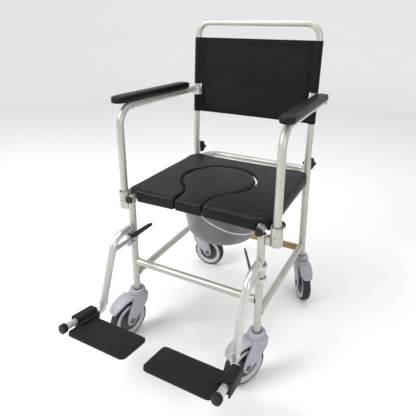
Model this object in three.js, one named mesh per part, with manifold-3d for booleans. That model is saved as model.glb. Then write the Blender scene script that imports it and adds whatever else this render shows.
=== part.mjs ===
// A wheeled commode chair: a welded tube frame on four castors, a padded seat with a lift-out
// infill over a sliding pan, a hoop back with a fabric sling, swing-up arms and swing-away footrests.
// Units are millimetres. +Z is up, the sitter faces -Y, and the sitter's left is +X.
import * as THREE from "three";
import { mergeVertices } from "three/addons/utils/BufferGeometryUtils.js";
import Module from "manifold-3d";

const wasm = await Module();
wasm.setup();

// ---- driving dimensions ----
const ORIGIN_X = 4.1; // from the middle of the frame to the middle of the overall width
const ORIGIN_Y = 108.5; // from the front leg axis back to the middle of the overall length
const TUBE_R = 11;
const TUBE_WALL = 1.5;
const TUBE_SIDES = 6; // half the number of flats round a tube
const WELD_GAP = 0.5;
const GAP = 0.4;

const FRONT_LEG_X = 210;
const REAR_LEG_X = 218;
const REAR_LEG_R = 12.2;
const REAR_LEG_WALL = 1.3;
const REAR_LEG_TOP = 545;
const REAR_LEG_FOOT_Y = 441;
const REAR_LEG_RAKE = -0.0778; // change of Y with height
const LEG_FOOT = 158.4;
const COLLAR_R = 14;
const COLLAR_LOW = 341;
const COLLAR_TOP = 363.6;

const RAIL_X = 207;
const RAIL_Z = 478;
const RAIL_FRONT = -14;
const LOWER_RAIL_FRONT_Z = 214;
const LOWER_RAIL_REAR_Z = 207;
const CROSS_TUBE_Z = 260;
const REAR_BAR_Z = 184;
const REAR_BAR_R = 12;
const BOW_Y = 498;
const BOW_Z = 482;

const HOOP_R = 10.4;
const HOOP_FOOT = 480;
const HOOP_BEND_Z = 560;
const HOOP_TOP_Y = 432;
const HOOP_TOP_Z = 988;
const HOOP_CORNER_R = 45;
const SLING_LOW = 672;
const SLING_HIGH = 938;
const SLEEVE_R = 12.4;
const SLEEVE_BORE = 11.4;

const SEAT_TOP = 505;
const SEAT_LOW = 469;
const SEAT_SLAB_LOW = 491;
const SEAT_HALF = 230;
const SEAT_FRONT = -2;
const SEAT_REAR = 406;
const KEYHOLE_X = -15;
const KEYHOLE_Y = 200;
const KEYHOLE_R = 122;
const KEYHOLE_NECK = 46;
const INFILL_GAP = 2.5;

const PAN_Y = 205;
const RUNNER_LOW = 444;
const BAIL_Z = 440;
const BAIL_R = 149;
const BAIL_TURN = (90 * Math.PI) / 180;
const BAIL_HANG = (32 * Math.PI) / 180;

const ARM_X = 246;
const ARM_Z = 748;
const ARM_FRONT_Y = 12;
const ARM_PIVOT_Y = 420;
const ARM_FOOT = 485.5;
const ARM_BEND_R = 55;
const PAD_X = 252.2;
const SOCKET_TOP = 490;
const SOCKET_LOW = 436;
const PLUNGER_Z = 476;

const HANGER_TOP = 384;
const HANGER_BEND_Y = -86;
const HANGER_END_Y = -152;
const HANGER_END_Z = 205;
const BAR_X = 226;
const BAR_Z = 188;
const BAR_R = 9.5;
const BAR_FRONT = -281;
const LEVER_Y = -26;
const LEVER_TURN = (38 * Math.PI) / 180; // how far the lever points inwards
const PLATE_TOP = 183;
const BAR_TILT = (12 * Math.PI) / 180; // the bar and the plate rise towards the front
const BAR_REAR = -165;

const WHEEL_R = 62.5;
const TRAIL = 41;
const WHEEL_FLATS = 24;
const CASTORS = [
  { name: "castor_front_l", x: FRONT_LEG_X, y: 0, turn: 239, pedal: true },
  { name: "castor_front_r", x: -FRONT_LEG_X, y: 0, turn: 255, pedal: true },
  { name: "castor_rear_l", x: REAR_LEG_X, y: REAR_LEG_FOOT_Y, turn: 301, pedal: true },
  { name: "castor_rear_r", x: -REAR_LEG_X, y: REAR_LEG_FOOT_Y, turn: 2, pedal: false },
];

// ---- materials ----
function material(color, roughness, metalness) {
  return { color, roughness, metalness };
}
const FRAME_PAINT = material(0xb4b1a6, 0.42, 0.35);
const BRIGHT_PAINT = material(0xc3c4c6, 0.35, 0.5);
const TAN_PAINT = material(0xa07d46, 0.6, 0);
const BLACK_PLASTIC = material(0x18181a, 0.5, 0);
const SEAT_FOAM = material(0x202022, 0.6, 0);
const SLING_FABRIC = material(0x1a1a1c, 0.75, 0);
const PAN_PLASTIC = material(0x7d7f86, 0.45, 0);
const BAIL_WIRE = material(0xe4e4e2, 0.4, 0.1);
const CASTOR_PLASTIC = material(0xa6a9b3, 0.5, 0);
const TYRE_RUBBER = material(0x2a2a2c, 0.7, 0);
const HUB_PLASTIC = material(0x3c3c42, 0.5, 0);
const BOLT_STEEL = material(0x74767a, 0.35, 0.9);

// ---- shape helpers ----
function at(x, y, z) {
  return new THREE.Vector3(x, y, z);
}

function solidOf(geometry) {
  const bare = geometry.index ? geometry.toNonIndexed() : geometry.clone();
  bare.deleteAttribute("normal");
  bare.deleteAttribute("uv");
  const merged = mergeVertices(bare, 1e-3);
  const mesh = new wasm.Mesh({
    numProp: 3,
    vertProperties: merged.attributes.position.array,
    triVerts: new Uint32Array(merged.index.array),
  });
  return new wasm.Manifold(mesh);
}

function geometryOf(solid) {
  const mesh = solid.getMesh();
  const geometry = new THREE.BufferGeometry();
  geometry.setAttribute("position", new THREE.BufferAttribute(new Float32Array(mesh.vertProperties), 3));
  geometry.setIndex(new THREE.BufferAttribute(new Uint32Array(mesh.triVerts), 1));
  geometry.computeVertexNormals();
  return geometry;
}

function join(...geometries) {
  return geometryOf(geometries.map(solidOf).reduce((whole, next) => whole.add(next)));
}

function cut(geometry, ...tools) {
  return geometryOf(tools.map(solidOf).reduce((whole, tool) => whole.subtract(tool), solidOf(geometry)));
}

function overlapOf(first, second) {
  return geometryOf(solidOf(first).intersect(solidOf(second)));
}

// The same shape on the other side of the chair.
function mirrored(geometry) {
  const copy = geometry.index ? geometry.toNonIndexed() : geometry.clone();
  copy.deleteAttribute("normal");
  copy.deleteAttribute("uv");
  copy.scale(-1, 1, 1);
  const place = copy.attributes.position;
  for (let i = 0; i < place.count; i += 3) {
    const second = at(0, 0, 0).fromBufferAttribute(place, i + 1);
    const third = at(0, 0, 0).fromBufferAttribute(place, i + 2);
    place.setXYZ(i + 1, third.x, third.y, third.z);
    place.setXYZ(i + 2, second.x, second.y, second.z);
  }
  copy.computeVertexNormals();
  return copy;
}

function rod(from, to, radius, sides = 16) {
  const axis = to.clone().sub(from);
  const geometry = new THREE.CylinderGeometry(radius, radius, axis.length(), sides);
  geometry.applyQuaternion(new THREE.Quaternion().setFromUnitVectors(at(0, 1, 0), axis.clone().normalize()));
  const middle = from.clone().add(to).multiplyScalar(0.5);
  return geometry.translate(middle.x, middle.y, middle.z);
}

function block(low, high) {
  const size = high.clone().sub(low);
  const middle = low.clone().add(high).multiplyScalar(0.5);
  return new THREE.BoxGeometry(size.x, size.y, size.z).translate(middle.x, middle.y, middle.z);
}

// A turned piece about Z. The profile runs up the outside, as [radius, height] pairs.
function turned(profile, sides, closed = false) {
  const points = profile.map(([radius, height]) => new THREE.Vector2(radius, height));
  if (closed) points.push(points[0].clone());
  return new THREE.LatheGeometry(points, sides).rotateX(Math.PI / 2);
}

// A line of straight stretches, with a point at each step of its bends.
class BentLine extends THREE.Curve {
  constructor(points) {
    super();
    this.points = points;
  }
  getPoint(t, target = new THREE.Vector3()) {
    const along = Math.min(Math.max(t, 0), 1) * (this.points.length - 1);
    const index = Math.min(Math.floor(along), this.points.length - 2);
    return target.lerpVectors(this.points[index], this.points[index + 1], along - index);
  }
  getUtoTmapping(u) {
    return u;
  }
}

// Corners joined by arcs: one radius and one number of steps for each inner corner.
function bentPoints(corners, radii, steps) {
  const points = [corners[0]];
  for (let i = 1; i < corners.length - 1; i++) {
    const corner = corners[i];
    const back = corners[i - 1].clone().sub(corner).normalize();
    const ahead = corners[i + 1].clone().sub(corner).normalize();
    const half = back.angleTo(ahead) / 2;
    const radius = radii[i - 1];
    const reach = radius / Math.tan(half);
    const centre = back.clone().add(ahead).normalize().multiplyScalar(radius / Math.sin(half)).add(corner);
    const first = corner.clone().addScaledVector(back, reach).sub(centre);
    const last = corner.clone().addScaledVector(ahead, reach).sub(centre);
    const sweep = first.angleTo(last);
    for (let s = 0; s <= steps[i - 1]; s++) {
      const share = s / steps[i - 1];
      const spoke = first.clone().multiplyScalar(Math.sin((1 - share) * sweep) / Math.sin(sweep));
      spoke.addScaledVector(last, Math.sin(share * sweep) / Math.sin(sweep));
      points.push(spoke.add(centre));
    }
  }
  points.push(corners[corners.length - 1]);
  return points;
}

function tube(points, radius, wall, sides = TUBE_SIDES) {
  const section = new THREE.Shape();
  section.absarc(0, 0, radius, 0, 2 * Math.PI, false);
  if (wall) {
    const bore = new THREE.Path();
    bore.absarc(0, 0, radius - wall, 0, 2 * Math.PI, true);
    section.holes.push(bore);
  }
  return new THREE.ExtrudeGeometry(section, {
    steps: points.length - 1,
    curveSegments: sides,
    bevelEnabled: false,
    extrudePath: new BentLine(points),
  });
}

// A flat outline in X and Y raised from one height to another.
function raised(outline, low, high, curveSegments = 6) {
  const settings = { depth: high - low, bevelEnabled: false, curveSegments };
  return new THREE.ExtrudeGeometry(outline, settings).translate(0, 0, low);
}

// A flat outline in X and Z given thickness along Y.
function acrossY(outline, low, high, curveSegments = 6) {
  const settings = { depth: high - low, bevelEnabled: false, curveSegments };
  return new THREE.ExtrudeGeometry(outline, settings).rotateX(Math.PI / 2).translate(0, high, 0);
}

function roundedRectangle(lowX, highX, lowY, highY, frontR, rearR) {
  const shape = new THREE.Shape();
  shape.moveTo(lowX + frontR, lowY);
  shape.lineTo(highX - frontR, lowY);
  shape.absarc(highX - frontR, lowY + frontR, frontR, -Math.PI / 2, 0, false);
  shape.lineTo(highX, highY - rearR);
  shape.absarc(highX - rearR, highY - rearR, rearR, 0, Math.PI / 2, false);
  shape.lineTo(lowX + rearR, highY);
  shape.absarc(lowX + rearR, highY - rearR, rearR, Math.PI / 2, Math.PI, false);
  shape.lineTo(lowX, lowY + frontR);
  shape.absarc(lowX + frontR, lowY + frontR, frontR, Math.PI, 1.5 * Math.PI, false);
  return shape;
}

// ---- the group and its meshes ----
const chair = new THREE.Group();
chair.position.set(-ORIGIN_X, -ORIGIN_Y, 0);

function add(name, geometry, look, parent = chair) {
  const mesh = new THREE.Mesh(geometry, new THREE.MeshStandardMaterial(look));
  mesh.name = name;
  parent.add(mesh);
  return mesh;
}

function addPair(name, geometry, look) {
  add(name + "_l", geometry, look);
  add(name + "_r", mirrored(geometry), look);
}

// ---- frame ----
function rearLegPoint(z) {
  return at(REAR_LEG_X, REAR_LEG_FOOT_Y + REAR_LEG_RAKE * (z - LEG_FOOT), z);
}
const rearLegClearance = rod(rearLegPoint(100), rearLegPoint(600), REAR_LEG_R + WELD_GAP, 24);
const frontLegClearance = rod(at(FRONT_LEG_X, 0, 100), at(FRONT_LEG_X, 0, 600), TUBE_R + WELD_GAP, 24);

function frontLeg() {
  const leg = tube([at(FRONT_LEG_X, 0, LEG_FOOT), at(FRONT_LEG_X, 0, SEAT_LOW - 1)], TUBE_R, TUBE_WALL);
  const collar = rod(at(FRONT_LEG_X, 0, COLLAR_LOW), at(FRONT_LEG_X, 0, COLLAR_TOP), COLLAR_R, 16);
  const bore = rod(at(FRONT_LEG_X, 0, 0), at(FRONT_LEG_X, 0, 600), TUBE_R - TUBE_WALL - 0.2, 12);
  const rail = rod(at(RAIL_X, -60, RAIL_Z), at(RAIL_X, 60, RAIL_Z), TUBE_R + WELD_GAP, 24);
  return cut(join(leg, collar), bore, rail);
}

function seatRail() {
  const rail = tube([at(RAIL_X, RAIL_FRONT, RAIL_Z), at(RAIL_X, 412, RAIL_Z)], TUBE_R, TUBE_WALL);
  return cut(rail, rearLegClearance);
}

function lowerRail() {
  const front = at(FRONT_LEG_X, 0, LOWER_RAIL_FRONT_Z);
  const rear = rearLegPoint(LOWER_RAIL_REAR_Z);
  return cut(tube([front, rear], TUBE_R, TUBE_WALL), frontLegClearance, rearLegClearance);
}

function rearBow() {
  const corners = [at(-214, 424, BOW_Z), at(-200, BOW_Y, BOW_Z), at(200, BOW_Y, BOW_Z), at(214, 424, BOW_Z)];
  const bow = tube(bentPoints(corners, [40, 40], [5, 5]), TUBE_R, TUBE_WALL);
  return cut(bow, rearLegClearance, mirrored(rearLegClearance));
}

addPair("front_leg", frontLeg(), FRAME_PAINT);
addPair("rear_leg", tube([rearLegPoint(LEG_FOOT), rearLegPoint(REAR_LEG_TOP)], REAR_LEG_R, REAR_LEG_WALL), FRAME_PAINT);
addPair("seat_rail", seatRail(), FRAME_PAINT);
addPair("lower_rail", lowerRail(), FRAME_PAINT);
addPair(
  "rail_cap",
  rod(at(RAIL_X, RAIL_FRONT - 6.5, RAIL_Z), at(RAIL_X, RAIL_FRONT - GAP, RAIL_Z), TUBE_R + 0.3, 16),
  BLACK_PLASTIC,
);
add("rear_bow_tube", rearBow(), FRAME_PAINT);
const crossTube = tube([at(-FRONT_LEG_X, 0, CROSS_TUBE_Z), at(FRONT_LEG_X, 0, CROSS_TUBE_Z)], TUBE_R, TUBE_WALL);
add("front_cross_tube", cut(crossTube, frontLegClearance, mirrored(frontLegClearance)), FRAME_PAINT);
const rearBarEnd = rearLegPoint(REAR_BAR_Z);
const rearBar = tube([at(-rearBarEnd.x, rearBarEnd.y, REAR_BAR_Z), rearBarEnd], REAR_BAR_R, TUBE_WALL);
add("rear_cross_bar", cut(rearBar, rearLegClearance, mirrored(rearLegClearance)), TAN_PAINT);

// ---- arm sockets and their lock plungers ----
function armSocket() {
  const cup = rod(at(ARM_X, ARM_FRONT_Y, SOCKET_LOW), at(ARM_X, ARM_FRONT_Y, SOCKET_TOP), 16.8, 20);
  const bracket = block(at(FRONT_LEG_X + TUBE_R + WELD_GAP, -6, 440), at(ARM_X - 12, 12, 462));
  const boss = rod(at(ARM_X, ARM_FRONT_Y + 14, PLUNGER_Z), at(ARM_X, ARM_FRONT_Y + 30, PLUNGER_Z), 8, 12);
  const bore = rod(at(ARM_X, ARM_FRONT_Y, SOCKET_LOW - 5), at(ARM_X, ARM_FRONT_Y, SOCKET_TOP + 5), 15, 20);
  const plungerHole = rod(at(ARM_X, ARM_FRONT_Y + 10, PLUNGER_Z), at(ARM_X, ARM_FRONT_Y + 32, PLUNGER_Z), 4.4, 12);
  const frontHole = rod(at(ARM_X, ARM_FRONT_Y - 20, 463), at(ARM_X, ARM_FRONT_Y - 10, 463), 2.6, 10);
  return cut(join(cup, bracket, boss), bore, plungerHole, frontHole);
}

function lockKnob() {
  const head = rod(at(ARM_X, ARM_FRONT_Y + 30.6, PLUNGER_Z), at(ARM_X, ARM_FRONT_Y + 44, PLUNGER_Z), 10.5, 16);
  const plunger = rod(at(ARM_X, ARM_FRONT_Y + 15.6, PLUNGER_Z), at(ARM_X, ARM_FRONT_Y + 36, PLUNGER_Z), 3.8, 10);
  return join(head, plunger);
}

addPair("arm_socket", armSocket(), FRAME_PAINT);
addPair("arm_lock_knob", lockKnob(), BLACK_PLASTIC);

// ---- back ----
const HOOP_BEND_Y = rearLegPoint(HOOP_BEND_Z).y;
const HOOP_LEAN = (HOOP_TOP_Y - HOOP_BEND_Y) / (HOOP_TOP_Z - HOOP_BEND_Z);

function uprightPoint(z) {
  return at(REAR_LEG_X, HOOP_BEND_Y + HOOP_LEAN * (z - HOOP_BEND_Z), z);
}

function backHoop() {
  const foot = rearLegPoint(HOOP_FOOT);
  const corners = [
    at(-REAR_LEG_X, foot.y, foot.z),
    at(-REAR_LEG_X, HOOP_BEND_Y, HOOP_BEND_Z),
    at(-REAR_LEG_X, HOOP_TOP_Y, HOOP_TOP_Z),
    at(REAR_LEG_X, HOOP_TOP_Y, HOOP_TOP_Z),
    at(REAR_LEG_X, HOOP_BEND_Y, HOOP_BEND_Z),
    foot,
  ];
  return tube(bentPoints(corners, [150, HOOP_CORNER_R, HOOP_CORNER_R, 150], [1, 6, 6, 1]), HOOP_R, TUBE_WALL);
}

function backSling() {
  const low = uprightPoint(SLING_LOW);
  const high = uprightPoint(SLING_HIGH);
  const sleeve = rod(low, high, SLEEVE_R, 20);
  const bore = rod(uprightPoint(SLING_LOW - 20), uprightPoint(SLING_HIGH + 20), SLEEVE_BORE, 20);
  const web = block(at(-207, -1.2, 0), at(207, 1.2, high.distanceTo(low)));
  web.rotateX(-Math.atan(HOOP_LEAN)).translate(0, low.y, low.z);
  const window = block(at(190, 380, ARM_Z - 20), at(240, 460, ARM_Z + 20));
  const tools = [bore, mirrored(bore), window, mirrored(window)];
  return cut(join(web, sleeve, mirrored(sleeve)), ...tools);
}

function armClamp() {
  const middle = uprightPoint(ARM_Z);
  const body = block(at(203, middle.y - 15, ARM_Z - 12), at(233.5, middle.y + 15, ARM_Z + 12));
  const bore = rod(uprightPoint(ARM_Z - 30), uprightPoint(ARM_Z + 30), HOOP_R + WELD_GAP, 20);
  const bolt = rod(at(231, ARM_PIVOT_Y, ARM_Z), at(260, ARM_PIVOT_Y, ARM_Z), 4, 12);
  const head = rod(at(257.6, ARM_PIVOT_Y, ARM_Z), at(262, ARM_PIVOT_Y, ARM_Z), 8, 12);
  return join(cut(body, bore), bolt, head);
}

function starKnob() {
  const lobes = 6;
  const outline = new THREE.Shape();
  for (let i = 0; i < lobes * 4; i++) {
    const angle = (i * Math.PI) / (lobes * 2);
    const radius = 20.5 + 2.8 * Math.cos(lobes * angle);
    outline[i ? "lineTo" : "moveTo"](radius * Math.cos(angle), radius * Math.sin(angle));
  }
  const centre = rearLegPoint(525);
  const legBack = centre.y + REAR_LEG_R;
  const head = acrossY(outline, legBack + 6.5, legBack + 21).translate(centre.x, 0, centre.z);
  return join(head, rod(at(centre.x, legBack + 0.8, centre.z), at(centre.x, legBack + 10, centre.z), 5, 10));
}

add("back_hoop", backHoop(), FRAME_PAINT);
add("back_sling", backSling(), SLING_FABRIC);
addPair("arm_clamp", armClamp(), BRIGHT_PAINT);
addPair("star_knob", starKnob(), BLACK_PLASTIC);

// ---- seat, infill and pan ----
// A round opening with a straight neck that runs out at the seat's front edge.
function keyhole(radius, neck, front) {
  const shoulder = (-138 * Math.PI) / 180;
  const shoulderX = radius * Math.cos(shoulder);
  const shoulderY = KEYHOLE_Y + radius * Math.sin(shoulder);
  const pull = 22;
  const pullX = -pull * Math.sin(shoulder);
  const pullY = pull * Math.cos(shoulder);
  const shape = new THREE.Shape();
  shape.moveTo(neck, front);
  shape.lineTo(neck, 45);
  shape.bezierCurveTo(neck, 72, -shoulderX - pullX, shoulderY + pullY, -shoulderX, shoulderY);
  shape.absarc(0, KEYHOLE_Y, radius, -Math.PI - shoulder, shoulder + 2 * Math.PI, false);
  shape.bezierCurveTo(shoulderX + pullX, shoulderY + pullY, -neck, 72, -neck, 45);
  shape.lineTo(-neck, front);
  return shape;
}

function seatBoard() {
  const outline = roundedRectangle(-SEAT_HALF, SEAT_HALF, SEAT_FRONT, SEAT_REAR, 32, 42);
  const whole = raised(outline, SEAT_LOW, SEAT_TOP);
  const recess = block(at(-218.6, 14, SEAT_LOW - 5), at(218.6, SEAT_REAR - 14, SEAT_SLAB_LOW));
  const railWay = block(at(RAIL_X - TUBE_R - 1, -10, SEAT_LOW - 5), at(RAIL_X + TUBE_R + 1, 420, SEAT_SLAB_LOW));
  const opening = raised(keyhole(KEYHOLE_R, KEYHOLE_NECK, SEAT_FRONT - 20), SEAT_LOW - 10, SEAT_TOP + 10);
  return cut(whole, recess, railWay, mirrored(railWay), opening.translate(KEYHOLE_X, 0, 0));
}

function seatInfill() {
  const outline = keyhole(KEYHOLE_R - INFILL_GAP, KEYHOLE_NECK - INFILL_GAP, SEAT_FRONT - 1);
  const plug = raised(outline, 482, SEAT_TOP);
  const neck = KEYHOLE_NECK - INFILL_GAP;
  const lip = block(at(-neck, SEAT_FRONT - 1, SEAT_LOW), at(neck, SEAT_FRONT + 9, 490));
  return join(plug, lip).translate(KEYHOLE_X, 0, 0);
}

function panRunner() {
  const web = block(at(150.5, 50, RUNNER_LOW), at(153, 370, SEAT_SLAB_LOW - GAP));
  const lip = block(at(139, 50, RUNNER_LOW), at(152, 370, RUNNER_LOW + 2.5));
  return join(web, lip);
}

function pan() {
  const outside = [[0, 316], [78, 316], [98, 321], [110, 332], [119, 352], [135.5, 447], [145, 447], [145, 450]];
  const inside = [[132.8, 450], [116.2, 353], [107.6, 334], [96.6, 324], [77, 319], [0, 319]];
  const bowl = turned([...outside, ...inside], 24);
  const along = at(Math.cos(BAIL_TURN), Math.sin(BAIL_TURN), 0);
  const ears = [1, -1].map((end) =>
    rod(
      along.clone().multiplyScalar(132.6 * end).setZ(BAIL_Z),
      along.clone().multiplyScalar(146.4 * end).setZ(BAIL_Z),
      3.5,
      8,
    ),
  );
  return join(bowl, ...ears).translate(0, PAN_Y, 0);
}

function panBail() {
  const steps = 20;
  const points = [];
  for (let i = 0; i <= steps; i++) {
    const angle = (Math.PI * i) / steps;
    const across = BAIL_R * Math.sin(angle);
    const along = BAIL_R * Math.cos(angle);
    const out = across * Math.cos(BAIL_HANG);
    points.push(
      at(
        along * Math.cos(BAIL_TURN) + out * Math.sin(BAIL_TURN),
        PAN_Y + along * Math.sin(BAIL_TURN) - out * Math.cos(BAIL_TURN),
        BAIL_Z - across * Math.sin(BAIL_HANG),
      ),
    );
  }
  return tube(points, 2, 0, 4);
}

add("seat_board", seatBoard(), SEAT_FOAM);
add("seat_infill", seatInfill(), SEAT_FOAM);
addPair("pan_runner", panRunner(), PAN_PLASTIC);
add("pan", pan(), PAN_PLASTIC);
add("pan_bail", panBail(), BAIL_WIRE);

// ---- arms ----
function armTube() {
  const corners = [
    at(ARM_X, ARM_FRONT_Y, ARM_FOOT),
    at(ARM_X, ARM_FRONT_Y, ARM_Z),
    at(ARM_X, ARM_PIVOT_Y + 13, ARM_Z),
  ];
  const bent = tube(bentPoints(corners, [ARM_BEND_R], [6]), TUBE_R, TUBE_WALL);
  return cut(bent, rod(at(220, ARM_PIVOT_Y, ARM_Z), at(270, ARM_PIVOT_Y, ARM_Z), 4.6, 12));
}

function armPad() {
  const low = ARM_Z + TUBE_R + GAP;
  return raised(roundedRectangle(PAD_X - 21, PAD_X + 21, 0, 392, 18, 14), low, low + 20, 3);
}

addPair("arm_tube", armTube(), FRAME_PAINT);
addPair("arm_pad", armPad(), SEAT_FOAM);

// ---- footrests ----
const dropDirection = at(0, HANGER_END_Y - HANGER_BEND_Y, HANGER_END_Z - HANGER_TOP).normalize();
const hangerEnd = at(FRONT_LEG_X, HANGER_END_Y, HANGER_END_Z);

// Raises the front of a piece that was made level, about the rear end of the pivot bar.
function tilted(geometry) {
  return geometry.translate(0, -BAR_REAR, -BAR_Z).rotateX(-BAR_TILT).translate(0, BAR_REAR, BAR_Z);
}

// A hook that wraps the front, the outer side and part of the back of a leg.
function claw(low, high) {
  const start = (-150 * Math.PI) / 180;
  const end = (70 * Math.PI) / 180;
  const outline = new THREE.Shape();
  outline.absarc(0, 0, 18, start, end, false);
  outline.absarc(0, 0, 12, end, start, true);
  const hook = raised(outline, low, high, 6);
  const tip = rod(at(15.5 * Math.cos(end), 15.5 * Math.sin(end), low), at(15.5 * Math.cos(end), 15.5 * Math.sin(end), high), 3.4, 10);
  return join(hook, tip.translate(2.4 * Math.cos(end), 2.4 * Math.sin(end), 0)).translate(FRONT_LEG_X, 0, 0);
}

function hanger() {
  const corners = [
    at(FRONT_LEG_X, -14, HANGER_TOP),
    at(FRONT_LEG_X, HANGER_BEND_Y, HANGER_TOP),
    hangerEnd,
  ];
  const main = tube(bentPoints(corners, [45], [6]), TUBE_R, TUBE_WALL);
  const brace = rod(at(FRONT_LEG_X, -16, 347), at(FRONT_LEG_X, -92, 347), 7, 10);
  const gusset = block(at(FRONT_LEG_X - 4, -36, 327), at(FRONT_LEG_X + 4, -15.2, 377));
  return join(main, brace, gusset, claw(COLLAR_TOP + GAP, 376), claw(326, COLLAR_LOW - 3));
}

function releaseLever() {
  const outline = new THREE.Shape();
  outline.moveTo(-8, 360);
  outline.lineTo(6, 360);
  outline.lineTo(60, 390);
  outline.lineTo(60, 397);
  outline.lineTo(48, 397);
  outline.lineTo(-8, 372);
  const plate = new THREE.ExtrudeGeometry(outline, { depth: 3, bevelEnabled: false });
  plate.rotateX(Math.PI / 2).rotateZ(Math.PI / 2 + LEVER_TURN).translate(190, LEVER_Y, 0);
  return join(plate, rod(at(188, LEVER_Y, 367), at(205.6, LEVER_Y, 367), 3, 10));
}

function dropTube() {
  const top = hangerEnd.clone().addScaledVector(dropDirection, -110);
  const bottom = hangerEnd.clone().addScaledVector(dropDirection, 24);
  const inner = tube([top, bottom], 8.6, 1.3);
  const elbow = rod(at(FRONT_LEG_X - 3, -159, 185), at(BAR_X, -165, BAR_Z), BAR_R, 12);
  const bar = rod(at(BAR_X, -159, BAR_Z), at(BAR_X, BAR_FRONT, BAR_Z), BAR_R, 16);
  const cap = rod(at(BAR_X, BAR_FRONT - 11, BAR_Z), at(BAR_X, BAR_FRONT, BAR_Z), 13, 16);
  return join(inner, elbow, tilted(bar), tilted(cap));
}

function footplate() {
  const sleeveFront = -245;
  const sleeveRear = -178;
  const plate = raised(roundedRectangle(27, 213, -288, -190, 14, 12), PLATE_TOP - 7, PLATE_TOP, 3);
  const web = block(at(200, sleeveFront, PLATE_TOP - 7), at(BAR_X, sleeveRear, BAR_Z + 4));
  const sleeve = rod(at(BAR_X, sleeveFront, BAR_Z), at(BAR_X, sleeveRear, BAR_Z), 14.5, 16);
  const skirt = block(at(BAR_X + 10.5, sleeveFront, BAR_Z - 22), at(BAR_X + 14.4, sleeveRear, BAR_Z));
  const bore = rod(at(BAR_X, sleeveFront - 9, BAR_Z), at(BAR_X, sleeveRear + 9, BAR_Z), 10.2, 16);
  return tilted(cut(join(plate, web, sleeve, skirt), bore));
}

addPair("hanger", hanger(), BRIGHT_PAINT);
addPair("release_lever", releaseLever(), BLACK_PLASTIC);
addPair("drop_tube", dropTube(), BRIGHT_PAINT);
addPair("footplate", footplate(), BLACK_PLASTIC);

// ---- castors: the swivel axis is the group's Z axis, and the wheel trails along its X axis ----
function castorFork() {
  const profile = [[0, 128], [26, 128], [27.8, 130], [27.8, 148], [26, 150], [25, 155], [23, 158], [20, 158]];
  const bell = turned([...profile, [18, 155.6], [0, 155.6]], 20);
  const stem = rod(at(0, 0, 150), at(0, 0, 178), 8, 10);
  const crown = block(at(-20, -19, 127.2), at(30, 19, 140));
  const side = new THREE.Shape();
  side.moveTo(-27, 146);
  side.lineTo(-27, 118);
  side.absarc(TRAIL, WHEEL_R, 16.5, -2.6, 0.33, false);
  side.lineTo(30, 146);
  const arms = [acrossY(side, 17.5, 22.5, 4), acrossY(side, -22.5, -17.5, 4)];
  const axleHole = rod(at(TRAIL, -30, WHEEL_R), at(TRAIL, 30, WHEEL_R), 4.6, 12);
  return cut(join(bell, stem, crown, ...arms), axleHole);
}

function brakePedal() {
  const side = new THREE.Shape();
  side.moveTo(33.8, 140);
  side.lineTo(60, 136.5);
  side.lineTo(86, 124);
  side.lineTo(100, 111);
  side.lineTo(103, 115);
  side.lineTo(88, 130);
  side.lineTo(62, 143);
  side.lineTo(33.8, 148);
  const plan = new THREE.Shape();
  plan.moveTo(30, -22);
  plan.lineTo(60, -22);
  plan.bezierCurveTo(85, -22, 104, -20, 104, 0);
  plan.bezierCurveTo(104, 20, 85, 22, 60, 22);
  plan.lineTo(30, 22);
  return overlapOf(acrossY(side, -30, 30), raised(plan, 90, 170, 5));
}

function castorAxle() {
  const pin = rod(at(0, -24, 0), at(0, 24, 0), 4.1, 10);
  const heads = [rod(at(0, 22.9, 0), at(0, 26, 0), 8, 12), rod(at(0, -26, 0), at(0, -22.9, 0), 8, 12)];
  return join(pin, ...heads);
}

// A wheel part turned about Y, with a flat facing straight down.
function wheelPart(profile) {
  const points = [...profile, profile[0]].map(([radius, along]) => new THREE.Vector2(radius, along));
  return new THREE.LatheGeometry(points, WHEEL_FLATS, Math.PI / WHEEL_FLATS);
}

function tyre() {
  const tread = WHEEL_R / Math.cos(Math.PI / WHEEL_FLATS);
  return wheelPart([[47.4, -13], [56, -16], [60.5, -13], [tread, -8], [tread, 8], [60.5, 13], [56, 16], [47.4, 13]]);
}

function hub() {
  return wheelPart([[4.7, -14], [14, -14], [16, -7], [38, -7], [46, -11], [46, 11], [38, 7], [16, 7], [14, 14], [4.7, 14]]);
}

for (const castor of CASTORS) {
  const swivel = new THREE.Group();
  swivel.position.set(castor.x, castor.y, 0);
  swivel.rotation.z = (castor.turn * Math.PI) / 180;
  chair.add(swivel);
  const wheel = new THREE.Group();
  wheel.position.set(TRAIL, 0, WHEEL_R);
  swivel.add(wheel);
  add(castor.name + "_fork", castorFork(), CASTOR_PLASTIC, swivel);
  if (castor.pedal) add(castor.name + "_pedal", brakePedal(), CASTOR_PLASTIC, swivel);
  add(castor.name + "_axle", castorAxle(), BOLT_STEEL, wheel);
  add(castor.name + "_tyre", tyre(), TYRE_RUBBER, wheel);
  add(castor.name + "_hub", hub(), HUB_PLASTIC, wheel);
}

export default chair;
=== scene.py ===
# The wheeled commode chair's visual model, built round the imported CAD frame. Metres, +Z up.
import math

import bmesh
import bpy
from mathutils import Matrix, Vector, noise


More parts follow.
